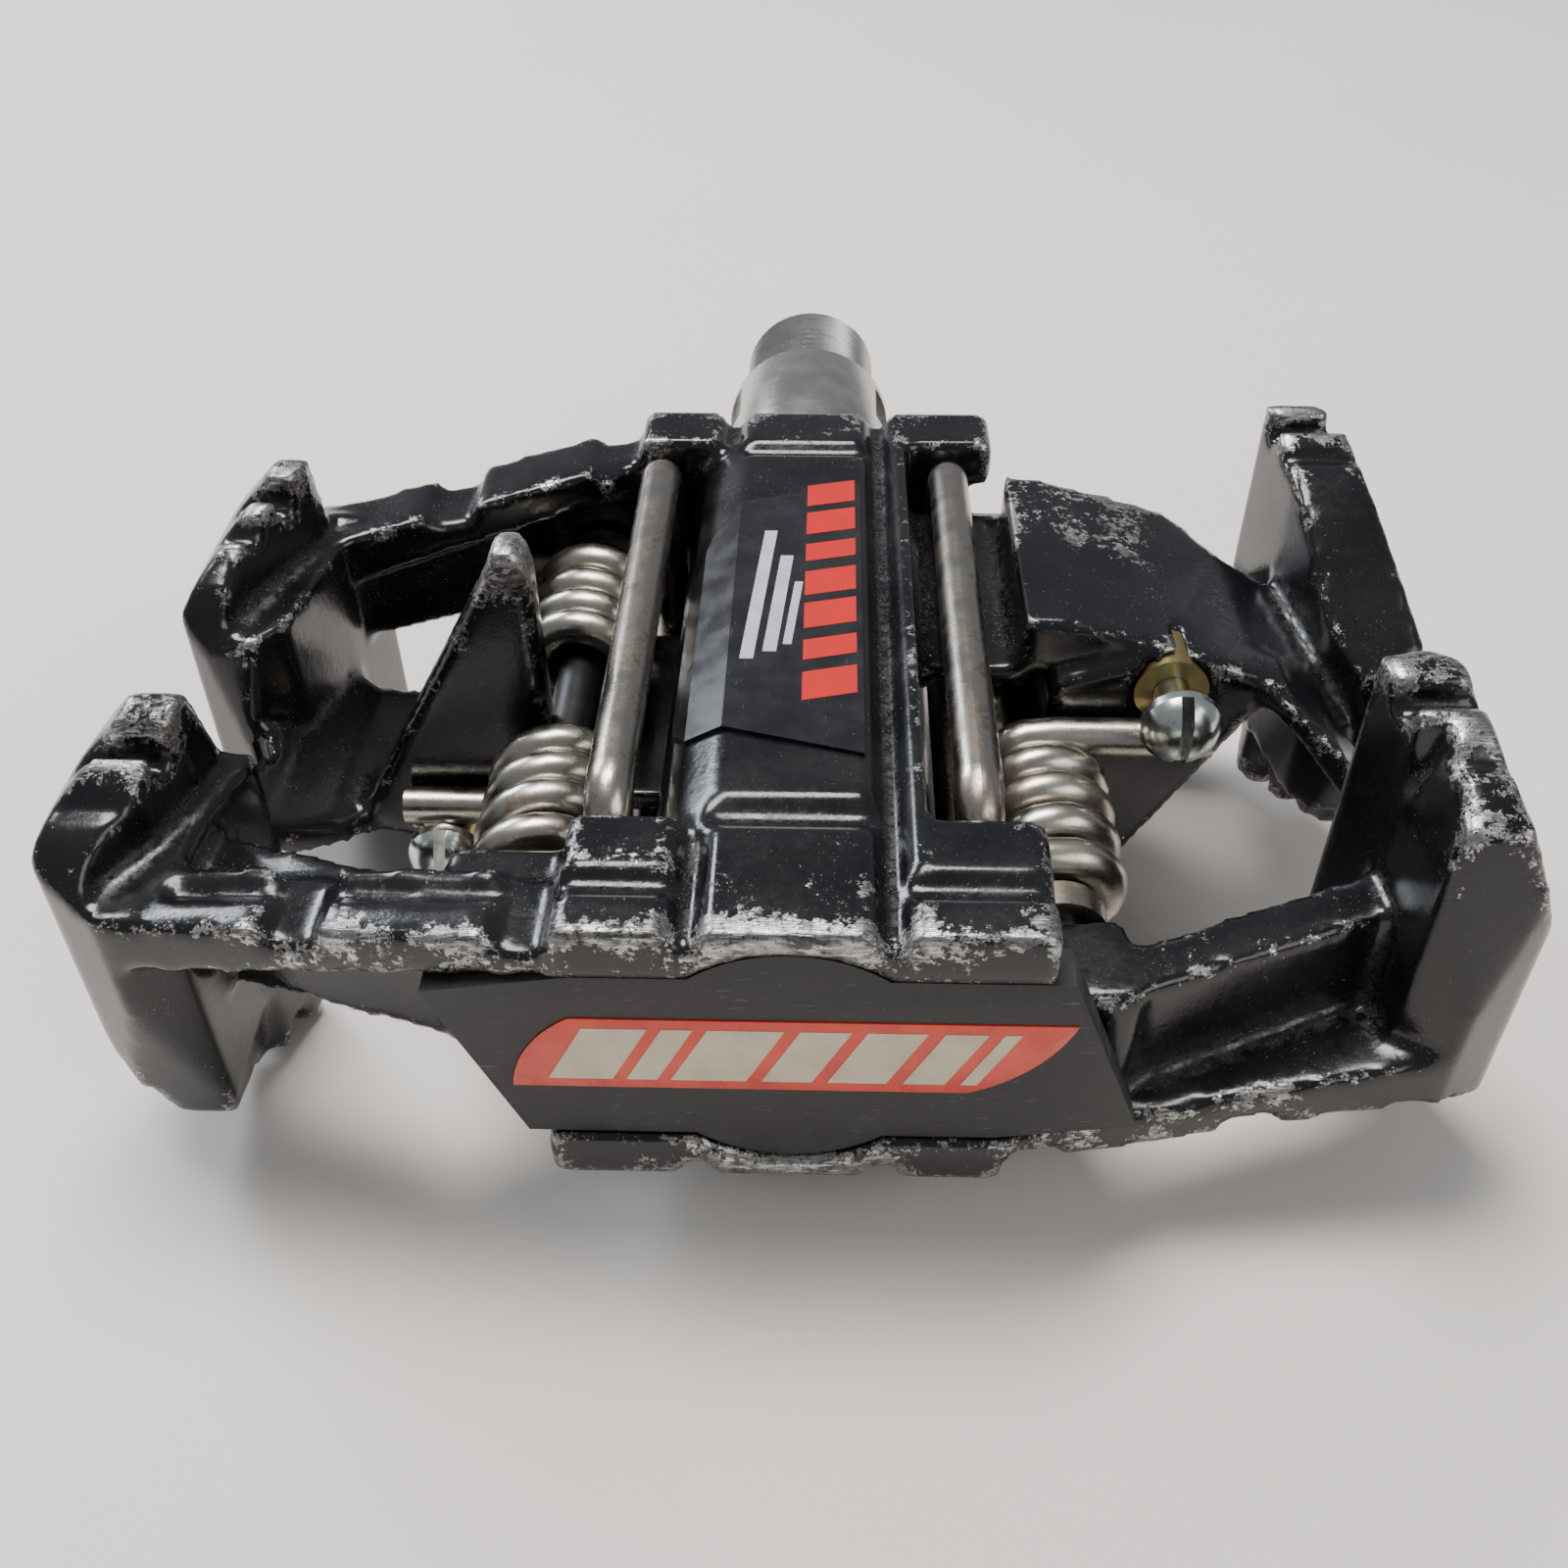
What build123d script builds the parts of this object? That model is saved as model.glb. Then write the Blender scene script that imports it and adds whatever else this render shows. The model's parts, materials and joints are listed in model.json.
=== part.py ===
"""Double-sided clipless pedal, in millimetres.

The origin is on the spindle axis at the shoulder that seats against the crank.
+Y runs along the spindle into the crank, X is the direction of travel, Z is up.
The cage is the same after half a turn about Y, so either side takes the cleat.
The front mechanism is on the -X side.
"""
from build123d import *
from math import atan2, cos, degrees, radians, sin
import os

os.makedirs("parts", exist_ok=True)

# ---- driving dimensions -------------------------------------------------------
thread_diameter = 14.29          # 9/16 inch, 20 threads per inch
thread_length = 13.0
seat_length = 23.5               # crank shoulder to the cage's inboard face
cage_width = 72.0                # cage along the spindle
cage_half_length = 57.3          # spindle axis to the outermost claw corner
deck_half_height = 13.25         # spindle axis to the deck that the cleat sits on
tall_claw = 20.0                 # spindle axis to the tip of the tall claws
short_claw = 17.3                # spindle axis to the tip of the short claws
fin_height = 20.5                # spindle axis to the blunt top of each fin
fin_thickness = 4.0
hub_wall = 2.5                   # round the ball bearing
ridge_half_width = 5.5
groove_edge = 8.5                # outer edge of the V grooves beside the ridge
band_edge = 9.7                  # deck edge beside the cleat bars
deck_short_side = 16.0
deck_long_side = 18.1
deck_thickness = 4.5
cap_depth = 4.0                  # recess that the end cap fills
wall_thickness = 8.0             # cross wall behind the end cap
inboard_wall = 6.5
bar_diameter = 3.65              # cleat bars
bar_gap = 0.275                  # hub to each cleat bar
rod_diameter = 4.4               # pivot rods
coil_gap = 2.8                   # hub to the springs
wire_diameter = 3.3              # spring wire
coil_play = 0.5                  # rod to the inside of the springs
pitch_factor = 1.115             # coil pitch over the wire's diameter
leg_reach = 14.2                 # adjuster leg, out from the rod
rest_reach = 12.0                # leg that rests on the wing
screw_inset = 3.5                # adjuster leg's end back to the screw
screw_head_radius = 3.3
screw_shank = 3.0
bearing_bore = 9.0               # radial ball bearing at the outboard end
bearing_outer = 18.0
bearing_width = 6.0
ball_diameter = 3.0
ball_count = 9
needle_diameter = 2.0
needle_length = 12.0
needle_count = 18
journal_diameter = 12.0
collar_diameter = 18.0           # spindle collar outside the cage
flats_across = 15.0              # pedal spanner flats
hex_socket = 6.0                 # key socket in the crank end
hex_depth = 8.0
running_gap = 0.03               # radial clearance of turning fits
seat_gap = 0.01                  # clearance of parts that stay put
loose_gap = 0.3                  # clearance between parts that only pass
label_thickness = 0.35
badge_rise = 0.6                 # badge above the spindle axis
badge_half_height = 3.7
cap_wall = 1.9                   # cap's round bulge outside the ball bearing

# ---- places worked out from them ----------------------------------------------
hub_radius = bearing_outer / 2 + hub_wall
cap_circle = bearing_outer / 2 + cap_wall
face_in = -seat_length
face_out = face_in - cage_width
middle = (face_in + face_out) / 2
recess = face_out + cap_depth                # face behind the end cap
wall_out = recess + wall_thickness           # inner face of the outboard wall
wall_in = face_in - inboard_wall             # inner face of the inboard wall
plate_low = deck_half_height - deck_thickness
rod_radius = rod_diameter / 2
bar_radius = bar_diameter / 2
wire_radius = wire_diameter / 2
bar_height = deck_half_height - bar_radius + 0.45
eye_thickness = 2.4
coil_mean_radius = rod_radius + coil_play + wire_radius
coil_radius = coil_mean_radius + wire_radius
bar_offset = hub_radius + bar_gap + bar_radius
rod_offset = hub_radius + coil_gap + coil_radius
screw_offset = rod_offset + leg_reach - screw_inset
screw_height = coil_radius + loose_gap + screw_shank / 2
bail_out = wall_out + bar_radius + loose_gap
bail_in = wall_in - bar_radius - loose_gap
fin_out = middle - fin_thickness / 2
fin_in = middle + fin_thickness / 2
coil_pitch = wire_diameter * pitch_factor
coil_room = fin_out - bail_out - eye_thickness / 2 - 2 * loose_gap - wire_diameter
coil_length = coil_pitch * int(coil_room / coil_pitch)       # whole turns, so both ends line up
outboard_coil = fin_out - loose_gap - wire_radius            # last turn, beside the fin
inboard_coil = bail_in - eye_thickness / 2 - loose_gap - wire_radius  # last turn, beside the bail
bearing_out = recess + 3.5                   # outboard face of the ball bearing
bearing_in = bearing_out + bearing_width
needle_in = face_in - 4.0
needle_out = needle_in - needle_length - 3.2
needle_pitch = (journal_diameter + needle_diameter) / 2 + running_gap
shell_bore = journal_diameter / 2 + needle_diameter + 2 * running_gap
shell_radius = shell_bore + 0.9
ball_pitch = (bearing_bore + bearing_outer) / 4
race_wall = 1.4
reach = cage_half_length                     # short name for the claw outlines
arm_end = reach - 8.7
arm_fall = 4.0                               # how far the arms drop towards the claws
block_gap = 4.3                              # gaps that leave blocks along the arms
block_rise = 1.4
rail_end = rod_offset + rod_radius + 2.5     # cross rails that hold the pivot rods
channel_depth = bar_diameter + 1.2           # room for each cleat bar to swing beside the hub
swing_edge = bar_offset + bar_radius + 2.2   # clear of the bars as they swing outwards
coil_clear = coil_radius + loose_gap
mechanisms = (("front", 0), ("rear", 180))   # name, turn about the spindle


def prism_y(points, y_low, y_high):
    """A solid with an outline in x and z, from y_low to y_high."""
    with BuildPart(mode=Mode.PRIVATE) as prism:
        with BuildSketch(Plane.XZ.offset(-y_high)):
            with BuildLine():
                Polyline(*points, close=True)
            make_face()
        extrude(amount=y_high - y_low)
    return prism.part


def prism_x(points, x_low, x_high):
    """A solid with an outline in y and z, from x_low to x_high."""
    with BuildPart(mode=Mode.PRIVATE) as prism:
        with BuildSketch(Plane.YZ.offset(x_low)):
            with BuildLine():
                Polyline(*points, close=True)
            make_face()
        extrude(amount=x_high - x_low)
    return prism.part


def prism_z(points, z_low, z_high):
    """A solid with an outline in x and y, from z_low to z_high."""
    with BuildPart(mode=Mode.PRIVATE) as prism:
        with BuildSketch(Plane.XY.offset(z_low)):
            with BuildLine():
                Polyline(*points, close=True)
            make_face()
        extrude(amount=z_high - z_low)
    return prism.part


def barrel(radius, y_low, y_high, x=0.0, z=0.0):
    """A cylinder along Y."""
    place = Location((x, (y_low + y_high) / 2, z), (90, 0, 0))
    return place * Cylinder(radius, y_high - y_low, mode=Mode.PRIVATE)


def ring(outer, inner, y_low, y_high, x=0.0, z=0.0):
    """A tube along Y."""
    return barrel(outer, y_low, y_high, x, z) - barrel(inner, y_low - 1, y_high + 1, x, z)


def block(x_low, x_high, y_low, y_high, z_low, z_high):
    """A rectangular block given by its six faces."""
    place = Pos((x_low + x_high) / 2, (y_low + y_high) / 2, (z_low + z_high) / 2)
    return place * Box(x_high - x_low, y_high - y_low, z_high - z_low, mode=Mode.PRIVATE)


def v_groove(x_low, x_high, y, z, width, depth):
    """A cutter for a V groove that runs along X in a face looking up."""
    half = width / 2
    return prism_x([(y - half, z), (y, z - depth), (y + half, z), (y, z + depth)], x_low, x_high)


# ---- cage ---------------------------------------------------------------------
def deck_plate(y_low, y_high):
    """Top plate across the hub, with V grooves on each side of the ridge."""
    top = deck_half_height
    edge = 0.6
    floor = top - 2.2
    mid = (ridge_half_width + groove_edge) / 2
    outline = [(-deck_short_side, plate_low), (-deck_short_side, top - edge)]
    outline += [(-deck_short_side + edge, top), (-groove_edge, top), (-mid, floor)]
    outline += [(-ridge_half_width, top), (ridge_half_width, top), (mid, floor)]
    outline += [(groove_edge, top), (deck_long_side - edge, top), (deck_long_side, top - edge)]
    outline += [(deck_long_side, plate_low)]
    return prism_y(outline, y_low, y_high)


def middle_deck():
    """Ridge, narrow band and rounded shoulder between the two plates."""
    top = deck_half_height
    mid = (ridge_half_width + groove_edge) / 2
    outline = [(-band_edge, 4.0), (-band_edge, top - 3.4), (-8.2, top - 1.5), (-ridge_half_width, top)]
    outline += [(ridge_half_width, top), (mid, top - 2.2), (groove_edge, top)]
    outline += [(band_edge, top), (band_edge, 4.0)]
    return prism_y(outline, wall_out - 1, wall_in + 1)


def sloping_flange():
    """Outline in x and z of an arm's flange, which falls from the deck towards the claw."""
    root_x = -deck_short_side + 2
    end_x = -arm_end - 2
    root_z = deck_half_height - 1.0
    end_z = root_z - arm_fall
    return [(root_x, root_z), (end_x, end_z), (end_x, end_z - 5.0), (root_x, root_z - 3.4)]


def near_arm():
    """Outboard arm: a toothed flange over a set-back web, falling towards the claw."""
    flange = prism_z(
        [(-deck_short_side + 2, face_out + 0.2), (-arm_end, face_out + 4.6), (-arm_end, face_out + 11.0),
         (-deck_short_side + 2, face_out + 7.4)], 0, deck_half_height)
    flange = flange & prism_y(sloping_flange(), face_out, face_out + 15)
    web = prism_z(
        [(-deck_short_side + 2, face_out + 4.4), (-24.0, face_out + 4.4), (-arm_end + 2, face_out + 12.4),
         (-arm_end + 2, face_out + 17.2), (-rail_end, face_out + 9.2), (-rail_end + 1, wall_out),
         (-deck_short_side + 2, wall_out)], -7, deck_half_height - 4)
    web = web & prism_y(
        [(-deck_short_side + 2, -2.6), (-deck_short_side + 2, deck_half_height - 3),
         (-arm_end, deck_half_height - 3 - arm_fall), (-arm_end, -5.0)], face_out, face_out + 20)
    return flange + web


def far_arm():
    """Inboard arm: as the outboard one, but slanted in plan."""
    flange = prism_z(
        [(-deck_short_side + 2, face_in), (-deck_short_side - 1, face_in - 0.6),
         (-arm_end + 1, face_in - 12.5), (-arm_end + 2, face_in - 19.5), (-swing_edge - 1, face_in - 9.2),
         (-swing_edge, wall_in + 0.01), (-deck_short_side + 2, wall_in + 0.01)], 0, deck_half_height)
    flange = flange & prism_y(sloping_flange(), face_in - 25, face_in)
    web = prism_z(
        [(-deck_short_side + 2, face_in - 1.5), (-24.0, face_in - 4.5), (-arm_end + 2, face_in - 14.0),
         (-arm_end + 2, face_in - 19.0), (-28.0, face_in - 10.7), (-rail_end, wall_in - 0.01),
         (-deck_short_side + 2, wall_in)], -7, deck_half_height - 4)
    web = web & prism_y(
        [(-deck_short_side + 2, -2.6), (-deck_short_side + 2, deck_half_height - 3),
         (-arm_end, deck_half_height - 3 - arm_fall), (-arm_end, -2.6)], face_in - 25, face_in)
    return flange + web


def cut_blocks(arm, gaps, notch_y, plan_angle):
    """Cuts a V notch along an arm's sloping top, and gaps across it that leave blocks."""
    fall_angle = -degrees(atan2(arm_fall, arm_end + 2 - deck_short_side + 2))
    root = (-deck_short_side + 2, notch_y, deck_half_height - 1.0)
    notch = v_groove(-arm_end - 6, -deck_short_side + 2, notch_y, root[2], 2.6, 1.2)
    notch = notch.rotate(Axis(root, (0, 0, 1)), plan_angle).rotate(Axis(root, (0, 1, 0)), fall_angle)
    arm = arm - notch
    for x in gaps:
        gap = block(
            x - block_gap / 2, x + block_gap / 2, face_out, face_in, root[2] - block_rise, root[2] + 3)
        drop = arm_fall * (-deck_short_side + 2 - x) / (arm_end + 2 - deck_short_side + 2)
        arm = arm - Pos(0, 0, -drop) * gap
    return arm


def claw_front(shoulder):
    """Outline in x and z that a claw is cut to. The shoulder is how far it leans in above its widest."""
    inner = -(reach - 18)
    return [(inner, -tall_claw), (-(reach - 9.0), -tall_claw), (-reach, 1.0), (-(reach - 0.6), 5.0),
            (-(reach - shoulder), short_claw - 4.8), (-(reach - shoulder - 4.6), short_claw),
            (inner, short_claw)]


def cut_notches(claw, places, width, z_low, z_high):
    """Cuts square notches across a crest, which leave teeth between them."""
    for y in places:
        claw = claw - block(-reach, 0, y - width / 2, y + width / 2, z_low, z_high)
    return claw


def near_claw():
    """Outboard claw: short above the arm, tall and pointed below it."""
    plan = [(13.5, 0.0), (7.4, 4.0), (4.5, 8.6), (7.2, 12.6), (15.5, 13.2), (23.0, 15.0),
            (24.2, 11.0), (21.0, 6.2)]
    side = [(3.6, 8.0), (9.2, short_claw - 5.2), (15.5, short_claw - 1.6), (18.7, short_claw),
            (20.8, short_claw - 0.4), (24.4, 5.0), (27.0, -4.5), (25.0, -tall_claw + 0.4),
            (22.5, -tall_claw), (16.0, -tall_claw + 0.7), (7.4, -tall_claw + 3.6), (3.9, 3.0)]
    shape = prism_z([(-(reach - x), face_out + y) for y, x in plan], -tall_claw, tall_claw)
    shape = shape & prism_y(claw_front(3.8), face_out, middle)
    shape = shape & prism_x([(face_out + y, z) for y, z in side], -reach, 0)
    shape = cut_notches(shape, (face_out + 15.9, face_out + 11.6), 1.9, short_claw - 4.4, short_claw)
    shape = cut_notches(shape, (face_out + 19.0, face_out + 13.0), 2.0, -tall_claw, -tall_claw + 2.6)
    # hollow behind the short crest, so that it stands up as a thin hook
    bowl = [(12.6, 24.6), (12.0, 18.0), (10.2, 12.4), (7.6, 8.0), (7.6, 3.0), (20.0, 3.0), (20.0, 24.6)]
    shape = shape - prism_z([(-(reach - x), face_out + y) for x, y in bowl], 8.9, short_claw + 1)
    # the tall crest leans out, away from the arm
    below = -tall_claw - 5
    lean = [(-30, -5.0), (-(reach - 15.8), -5.0), (-(reach - 12.8), -13.0), (-(reach - 11.1), -tall_claw),
            (-(reach - 11.1), below), (-30, below)]
    return shape - prism_y(lean, face_out, face_out + 16.5)


def far_claw():
    """Inboard claw, with the same kind of crest as the outboard one."""
    plan = [(10.0, 15.2), (10.3, 10.6), (17.5, 5.2), (26.5, 1.6), (33.0, 4.2), (36.5, 8.8),
            (31.5, 12.4), (20.5, 14.2)]
    side = [(9.6, 8.0), (15.5, 10.0), (17.2, short_claw), (20.5, short_claw), (27.0, short_claw - 2.4),
            (31.5, short_claw - 4.8), (34.5, 8.0), (37.0, -3.0), (35.0, -7.5), (23.5, -tall_claw + 4.0),
            (20.0, -tall_claw + 2.6), (11.0, -tall_claw), (9.4, -tall_claw + 0.8)]
    shape = prism_z([(-(reach - x), face_in - y) for y, x in plan], -tall_claw, tall_claw)
    shape = shape & prism_y(claw_front(5.2), middle - 2, face_in)
    shape = shape & prism_x([(face_in - y, z) for y, z in side], -reach, 0)
    shape = cut_notches(shape, (face_in - 21.6, face_in - 26.2), 1.9, short_claw - 3.6, short_claw)
    shape = cut_notches(shape, (face_in - 13.2, face_in - 17.0), 1.8, -tall_claw, -tall_claw + 2.6)
    # hollow behind the short crest, so that it stands up as a thin hook
    bowl = [(12.6, 15.0), (12.6, 18.7), (10.4, 24.2), (8.6, 29.5), (7.6, 36.0), (20.0, 36.0), (20.0, 15.0)]
    return shape - prism_z([(-(reach - x), face_in - y) for x, y in bowl], 8.9, short_claw + 1)


def wing():
    """Curved wing that ties both claws of one side to the far deck."""
    low = -deck_half_height
    outline = [(-8, face_in - 10.9), (-(reach - 23.3), face_in - 14.4), (-(reach - 19.3), face_in - 19.8),
               (-(reach - 13.3), face_in - 21.5), (-(reach - 7.3), face_in - 20.5),
               (-(reach - 6.8), face_in - 26.5), (-(reach - 9.8), face_in - 33.5),
               (-(reach - 10.8), middle - 2.0), (-(reach - 9.3), middle - 6.5),
               (-(reach - 6.8), middle - 12.5), (-(reach - 9.8), middle - 15.5), (-(reach - 12.8), middle - 9.5),
               (-(reach - 19.3), middle - 2.2), (-28, middle - 0.8), (-18, middle), (-8, middle + 0.2)]
    profile = [(-8, low), (-22, low), (-30, low + 1.5), (-(reach - 19.3), low + 3.8),
               (-(reach - 13.3), low + 6.8), (-(reach - 10.3), low + 10.2),
               (-(reach - 6.3), low + 15.5), (-(reach - 6.3), low + 20.0),
               (-(reach - 12.3), low + 11.2), (-(reach - 16.3), low + 7.4), (-(reach - 21.3), low + 5.6),
               (-30, low + 5.3), (-8, low + 5.3)]
    shape = prism_z(outline, low, deck_half_height) & prism_y(profile, face_out, face_in)
    channel = block(-deck_long_side - 0.5, 0, face_out, face_in, low, low + channel_depth)
    root = block(-deck_long_side - 1, -8, middle, face_in - 10.9, low + channel_depth, -coil_clear)
    return (shape - channel) + root


def fin():
    """Upright blunt fin that stands on the wing between the two springs."""
    outline = [(-21.4, -8.5), (-21.6, fin_height - 2.0), (-22.4, fin_height), (-24.4, fin_height),
               (-25.6, fin_height - 3.0), (-40.5, -9.0), (-30.0, -11.0)]
    return prism_y(outline, fin_out, fin_in)


def side_frame():
    """All that the cage has on the -X side."""
    arms = cut_blocks(near_arm(), (-34.5, -18.2), face_out + 5.2, -5.6)
    arms = arms + cut_blocks(far_arm(), (-33.6, -18.1), face_in - 3.4, -18.0)
    frame = arms + near_claw() + far_claw() + wing() + fin()
    frame = frame + block(-rail_end, -8, recess, wall_out, -3.0, plate_low + 1)
    frame = frame + block(-rail_end, -8, wall_in, face_in - 1.5, -3.0, plate_low + 1)
    return frame


with BuildPart() as pedal_body:
    add(barrel(hub_radius, recess, face_in))
    for turn in (0, 180):
        add(deck_plate(face_out, wall_out).rotate(Axis.Y, turn))
        add(deck_plate(wall_in, face_in).rotate(Axis.Y, turn))
        add(middle_deck().rotate(Axis.Y, turn))
        add(side_frame().rotate(Axis.Y, turn))
    add(block(-deck_short_side, deck_short_side, recess, wall_out, -plate_low, plate_low))
    add(block(-deck_short_side, deck_short_side, wall_in, face_in, -plate_low, plate_low))
    # recess for the end cap, and its round bulges
    add(barrel(cap_circle + loose_gap, face_out - 1, recess), mode=Mode.SUBTRACT)
    # bearing seats, from the outboard end to the seal
    add(barrel(bearing_outer / 2 + seat_gap, recess - 1, bearing_in), mode=Mode.SUBTRACT)
    add(barrel(journal_diameter / 2 + 0.8, bearing_in - 1, needle_out + 1), mode=Mode.SUBTRACT)
    add(barrel(shell_radius + seat_gap, needle_out, needle_in), mode=Mode.SUBTRACT)
    add(barrel(collar_diameter / 2 + 0.6, needle_in - 0.01, face_in + 1), mode=Mode.SUBTRACT)
    for turn in (0, 180):
        # pivot rod bore, open under the end cap
        add(barrel(rod_radius + seat_gap, recess - 1, face_in - 2, -rod_offset).rotate(Axis.Y, turn),
            mode=Mode.SUBTRACT)
        # adjuster bush bore through the fin
        add(barrel(screw_shank / 2 + 1.6, fin_out - 1, fin_in + 1.2, -screw_offset, -screw_height)
            .rotate(Axis.Y, turn), mode=Mode.SUBTRACT)
        # grip grooves across the deck and the arms
        for x_low, x_high, y, width in (
                (-deck_short_side - 40, -groove_edge + 1.6, face_out + 5.2, 3.0),
                (groove_edge - 1.6, deck_long_side + 1, face_out + 5.2, 3.0),
                (-ridge_half_width - 0.7, ridge_half_width + 0.7, wall_out + 0.4, 3.4),
                (-ridge_half_width - 0.7, ridge_half_width + 0.7, wall_in - 1.0, 2.4)):
            height = deck_half_height
            add(v_groove(x_low, x_high, y, height, width, 1.3).rotate(Axis.Y, turn), mode=Mode.SUBTRACT)
pedal_body.part.label = "pedal_body"
export_step(pedal_body.part, "parts/pedal_body.step")
print("pedal_body", len(pedal_body.part.solids()), pedal_body.part.bounding_box())


# ---- spindle and its bearings -------------------------------------------------
nut_out = recess + 0.2
nut_in = bearing_out - 0.9
thread_end = thread_diameter / 2 - 0.7
with BuildPart() as spindle:
    with BuildSketch(Plane.XY):
        with BuildLine():
            Polyline(
                (0, thread_length), (thread_end, thread_length), (thread_diameter / 2, thread_length - 0.7),
                (thread_diameter / 2, 0), (collar_diameter / 2 - 0.6, 0), (collar_diameter / 2, -0.6),
                (collar_diameter / 2, face_in + 0.5), (collar_diameter / 2 - 1.5, face_in + 0.5),
                (collar_diameter / 2 - 1.5, needle_in + 0.8), (journal_diameter / 2, needle_in + 0.8),
                (journal_diameter / 2, needle_out), (journal_diameter / 2 - 0.5, needle_out - 0.5),
                (journal_diameter / 2 - 0.5, bearing_in + 0.05), (bearing_bore / 2, bearing_in + 0.05),
                (bearing_bore / 2, bearing_out + 0.3), (4.0, bearing_out + 0.3), (4.0, nut_out + 0.3),
                (3.6, nut_out - 0.1), (0, nut_out - 0.1), close=True)
        make_face()
    revolve(axis=Axis.Y)
    for side in (-1, 1):
        flat = block(flats_across / 2, collar_diameter, -8.5, -2.0, -collar_diameter, collar_diameter)
        add(flat.rotate(Axis.Y, 90 - 90 * side), mode=Mode.SUBTRACT)
    with BuildSketch(Plane.XZ.offset(-thread_length)):
        RegularPolygon(hex_socket / 2, 6, major_radius=False)
    extrude(amount=hex_depth, mode=Mode.SUBTRACT)
spindle.part.label = "spindle"

with BuildPart() as inboard_seal:
    with BuildSketch(Plane.XY):
        with BuildLine():
            seal_inner = collar_diameter / 2 - 1.5 + running_gap
            seal_outer = collar_diameter / 2 + 0.6
            Polyline(
                (seal_inner, needle_in + 0.1), (seal_outer, needle_in + 0.1), (seal_outer, face_in + 0.05),
                (seal_outer - 0.1, face_in + 0.4), (seal_inner, face_in + 0.4), close=True)
        make_face()
    revolve(axis=Axis.Y)
inboard_seal.part.label = "inboard_seal"

with BuildPart() as needle_shell:
    add(ring(shell_radius, shell_bore, needle_out, needle_in - 0.3))
needle_shell.part.label = "needle_shell"

with BuildPart() as needle_rollers:
    for index in range(needle_count):
        angle = radians(360 / needle_count * index)
        add(barrel(needle_diameter / 2, needle_out + 1.5, needle_out + 1.5 + needle_length,
                   needle_pitch * cos(angle), needle_pitch * sin(angle)))
needle_rollers.part.label = "needle_rollers"

with BuildPart() as needle_cage:
    cage_inner = journal_diameter / 2 + running_gap
    cage_outer = shell_bore - running_gap
    add(ring(cage_outer, cage_inner, needle_out + 0.2, needle_out + 1.4))
    add(ring(cage_outer, cage_inner, needle_out + 1.6 + needle_length, needle_out + 2.8 + needle_length))
    for index in range(needle_count):
        angle = 360 / needle_count * (index + 0.5)
        bar = block(needle_pitch - 0.3, needle_pitch + 0.3, needle_out + 1, needle_out + 2 + needle_length,
                    -0.1, 0.1)
        add(bar.rotate(Axis.Y, angle))
needle_cage.part.label = "needle_cage"

race_middle = (bearing_in + bearing_out) / 2
with BuildPart() as bearing_outer_race:
    add(ring(bearing_outer / 2, bearing_outer / 2 - race_wall, bearing_out, bearing_in))
    with Locations((0, race_middle, 0)):
        Torus(ball_pitch, ball_diameter / 2 + 0.02, rotation=(90, 0, 0), mode=Mode.SUBTRACT)
bearing_outer_race.part.label = "bearing_outer_race"

with BuildPart() as bearing_inner_race:
    add(ring(bearing_bore / 2 + race_wall, bearing_bore / 2, bearing_out, bearing_in))
    with Locations((0, race_middle, 0)):
        Torus(ball_pitch, ball_diameter / 2 + 0.02, rotation=(90, 0, 0), mode=Mode.SUBTRACT)
bearing_inner_race.part.label = "bearing_inner_race"

with BuildPart() as bearing_balls:
    for index in range(ball_count):
        angle = radians(360 / ball_count * index)
        with Locations((ball_pitch * cos(angle), race_middle, ball_pitch * sin(angle))):
            Sphere(ball_diameter / 2)
bearing_balls.part.label = "bearing_balls"

with BuildPart() as bearing_cage:
    add(ring(ball_pitch + 0.5, ball_pitch - 0.5, race_middle - 1.9, race_middle + 1.9))
    for index in range(ball_count):
        place = Location((0, race_middle, 0), (0, 360 / ball_count * index, 0))
        pocket = place * Location((ball_pitch, 0, 0), (0, 90, 0)) * Cylinder(
            ball_diameter / 2 + 0.08, 3, mode=Mode.PRIVATE)
        add(pocket, mode=Mode.SUBTRACT)
bearing_cage.part.label = "bearing_cage"

shield_width = 0.35
with BuildPart() as bearing_shields:
    for y in (bearing_out + 0.1, bearing_in - 0.1 - shield_width):
        add(ring(bearing_outer / 2 - race_wall, bearing_bore / 2 + race_wall + 0.1, y, y + shield_width))
bearing_shields.part.label = "bearing_shields"

with BuildPart() as bearing_clip:
    add(ring(bearing_outer / 2, bearing_outer / 2 - 1.5, bearing_out - 1.0, bearing_out - 0.02))
bearing_clip.part.label = "bearing_clip"

with BuildPart() as axle_washer:
    add(ring(5.4, 4.0 + seat_gap, nut_in, bearing_out - 0.02))
axle_washer.part.label = "axle_washer"

with BuildPart() as axle_nut:
    with BuildSketch(Plane.XZ.offset(-nut_in)):
        RegularPolygon(4.9, 6, major_radius=False)
        Circle(4.0 + seat_gap, mode=Mode.SUBTRACT)
    extrude(amount=nut_in - nut_out)
axle_nut.part.label = "axle_nut"

# ---- end cap and its badge ----------------------------------------------------
cap_front = face_out + 0.6
tip = 25.4                       # out to the cap's slanted tips
badge_depth = 0.5


def badge_outline(grow):
    """Badge outline in x and z: a slanted bar with two rounded corners."""
    with BuildLine() as line:
        top = badge_rise + badge_half_height + grow
        low = badge_rise - badge_half_height - grow
        right = 20.0 + grow
        left = -right
        Line((left + 4.6, top), (right, top))
        TangentArc((right, top), (right - 7.2, low), tangent=(-0.35, -1))
        Line((right - 7.2, low), (left, low))
        TangentArc((left, low), (left + 4.6, top), tangent=(0.1, 1))
    return line.line


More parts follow.
